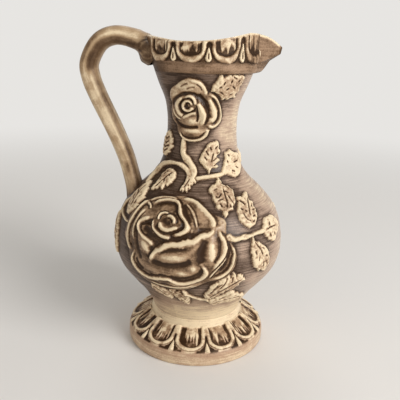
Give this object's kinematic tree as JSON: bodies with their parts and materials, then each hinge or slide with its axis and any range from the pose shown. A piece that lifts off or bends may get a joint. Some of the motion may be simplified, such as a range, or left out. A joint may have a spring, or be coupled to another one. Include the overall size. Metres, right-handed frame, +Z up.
{
  "type": "pouring jug",
  "caption": "Pouring jug of antiqued ivory clay with a beaked spout, strap handle, flared foot, and moulded roses, leaves, tongues and darts",
  "frame": {"origin": "the middle of the foot's resting ring, on the plane the jug stands on", "axes": "+Z up; the spout points to +X and the handle to -X; -Y is the side shown in the picture"},
  "size_m": [0.1414, 0.1252, 0.2173],
  "materials": {
    "brushed_wall": "matte",
    "foot_clay": "satin",
    "collar_clay": "satin",
    "handle_clay": "satin",
    "tongue_edges": "satin",
    "rose_petals": "satin",
    "leaves": "satin",
    "stems": "satin"
  },
  "bodies": {
    "root": {"foot": "foot_clay", "belly": "brushed_wall", "neck": "brushed_wall", "rim_collar": "collar_clay", "spout": "collar_clay", "handle": "handle_clay", "foot_tongues": "tongue_edges", "foot_darts": "tongue_edges", "rim_tongues": "tongue_edges", "rim_darts": "tongue_edges", "front_belly_rose_heart": "rose_petals", "front_belly_rose_inner_petals": "rose_petals", "front_belly_rose_middle_petals": "rose_petals", "front_belly_rose_outer_petals": "rose_petals", "front_neck_rose_heart": "rose_petals", "front_neck_rose_inner_petals": "rose_petals", "front_neck_rose_outer_petals": "rose_petals", "front_neck_top_leaf": "leaves", "front_neck_handle_leaf": "leaves", "front_neck_low_leaf": "leaves", "front_neck_spout_leaf": "leaves", "front_shoulder_bud_leaf": "leaves", "front_shoulder_handle_leaf": "leaves", "front_shoulder_front_leaf": "leaves", "front_shoulder_spout_leaf": "leaves", "front_shoulder_stalk_leaf": "leaves", "front_belly_tip_leaf": "leaves", "front_belly_hanging_leaf": "leaves", "front_belly_handle_leaf": "leaves", "front_base_upper_leaf": "leaves", "front_base_lower_leaf": "leaves", "front_base_handle_leaf": "leaves", "front_stems": "stems", "back_belly_rose_heart": "rose_petals", "back_belly_rose_inner_petals": "rose_petals", "back_belly_rose_middle_petals": "rose_petals", "back_belly_rose_outer_petals": "rose_petals", "back_neck_rose_heart": "rose_petals", "back_neck_rose_inner_petals": "rose_petals", "back_neck_rose_outer_petals": "rose_petals", "back_neck_top_leaf": "leaves", "back_neck_handle_leaf": "leaves", "back_neck_low_leaf": "leaves", "back_neck_spout_leaf": "leaves", "back_shoulder_bud_leaf": "leaves", "back_shoulder_handle_leaf": "leaves", "back_shoulder_front_leaf": "leaves", "back_shoulder_spout_leaf": "leaves", "back_shoulder_stalk_leaf": "leaves", "back_belly_tip_leaf": "leaves", "back_belly_hanging_leaf": "leaves", "back_belly_handle_leaf": "leaves", "back_base_upper_leaf": "leaves", "back_base_lower_leaf": "leaves", "back_base_handle_leaf": "leaves", "back_stems": "stems"}
  },
  "joints": []
}
